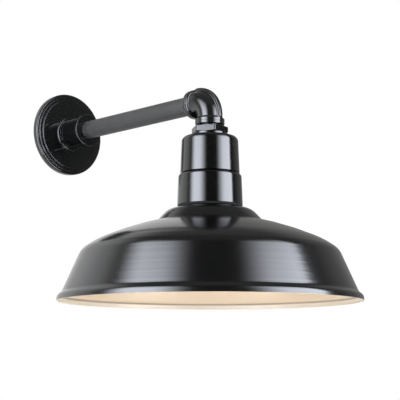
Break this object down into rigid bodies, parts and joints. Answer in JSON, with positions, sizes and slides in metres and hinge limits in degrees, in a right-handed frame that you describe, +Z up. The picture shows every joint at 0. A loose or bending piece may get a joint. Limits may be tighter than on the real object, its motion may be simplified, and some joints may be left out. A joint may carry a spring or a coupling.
{
  "type": "outdoor wall sconce",
  "caption": "Barn style wall sconce: spun warehouse shade on a stepped neck, hung from a straight pipe arm with a cast elbow and a round wall flange.",
  "frame": {"origin": "centre of the mounting strap's back face, on the wall plane and the pipe arm's axis", "axes": "+Z up; the arm runs from the wall along -Y; X lies along the wall; the shade's mouth faces -Z"},
  "size_m": [0.4063, 0.5192, 0.3372],
  "materials": {
    "gloss_black": "gloss black enamel on a casting",
    "shade_enamel": "gloss black outside, cream white inside, on spun aluminium",
    "satin_grey": "satin dark grey paint on steel pipe",
    "black_oxide": "blackened steel",
    "zinc_steel": "zinc plated",
    "green_screw": "green dyed zinc",
    "brass": "plain",
    "solder": "dull solder",
    "lamp_metal": "plain",
    "porcelain": "white glaze",
    "black_vitrite": "black glass insulator",
    "opal_glass": "white opal",
    "black_rubber": "moulded rubber",
    "bushing_plastic": "moulded nylon",
    "cable_jacket": "jacketed fixture cable",
    "black_lead": "black insulation",
    "white_lead": "white insulation",
    "green_lead": "green insulation"
  },
  "bodies": {
    "wall_arm": {"mounting_strap": "zinc_steel", "strap_ground_screw": "green_screw", "lock_ring": "zinc_steel", "arm_pipe": "satin_grey", "pipe_bushing": "bushing_plastic", "elbow": "gloss_black", "close_nipple": "black_oxide", "head_locknut": "gloss_black", "inner_locknut": "zinc_steel", "nipple_bushing": "bushing_plastic", "fixture_cable": "cable_jacket"},
    "flange": {"wall_flange": "gloss_black", "flange_gasket": "black_rubber", "hub_seal_ring": "black_rubber", "hub_set_screw": "black_oxide"},
    "head": {"neck_cap": "gloss_black", "neck_sleeve": "gloss_black", "shade_gasket": "black_rubber", "shade": "shade_enamel", "shade_screws": "zinc_steel", "lampholder_bracket": "zinc_steel", "bracket_screws": "zinc_steel", "bracket_ground_screw": "green_screw", "lampholder": "porcelain", "lampholder_screws": "zinc_steel", "terminal_screws": "brass", "screw_shell": "brass", "line_lead": "black_lead", "neutral_lead": "white_lead", "ground_lead": "green_lead"},
    "contact": {"centre_contact": "brass"},
    "lamp": {"lamp_tip": "solder", "lamp_insulator": "black_vitrite", "lamp_cap": "lamp_metal", "lamp_globe": "opal_glass"}
  },
  "joints": [
    {"name": "flange_slide", "type": "slide", "parent": "wall_arm", "child": "flange", "axis": [0, -1, 0], "range_m": [0, 0.2]},
    {"name": "head_swivel", "type": "hinge", "parent": "wall_arm", "child": "head", "pos_m": [0, -0.316, 0], "axis": [0, 0, 1], "range_deg": [-170, 170]},
    {"name": "contact_press", "type": "slide", "parent": "head", "child": "contact", "axis": [0, 0, 1], "range_m": [0, 0.0012], "stiffness_N_per_m": 1500},
    {"name": "lamp_slide", "type": "slide", "parent": "head", "child": "lamp", "axis": [0, 0, -1], "range_m": [0, 0.18]}
  ]
}
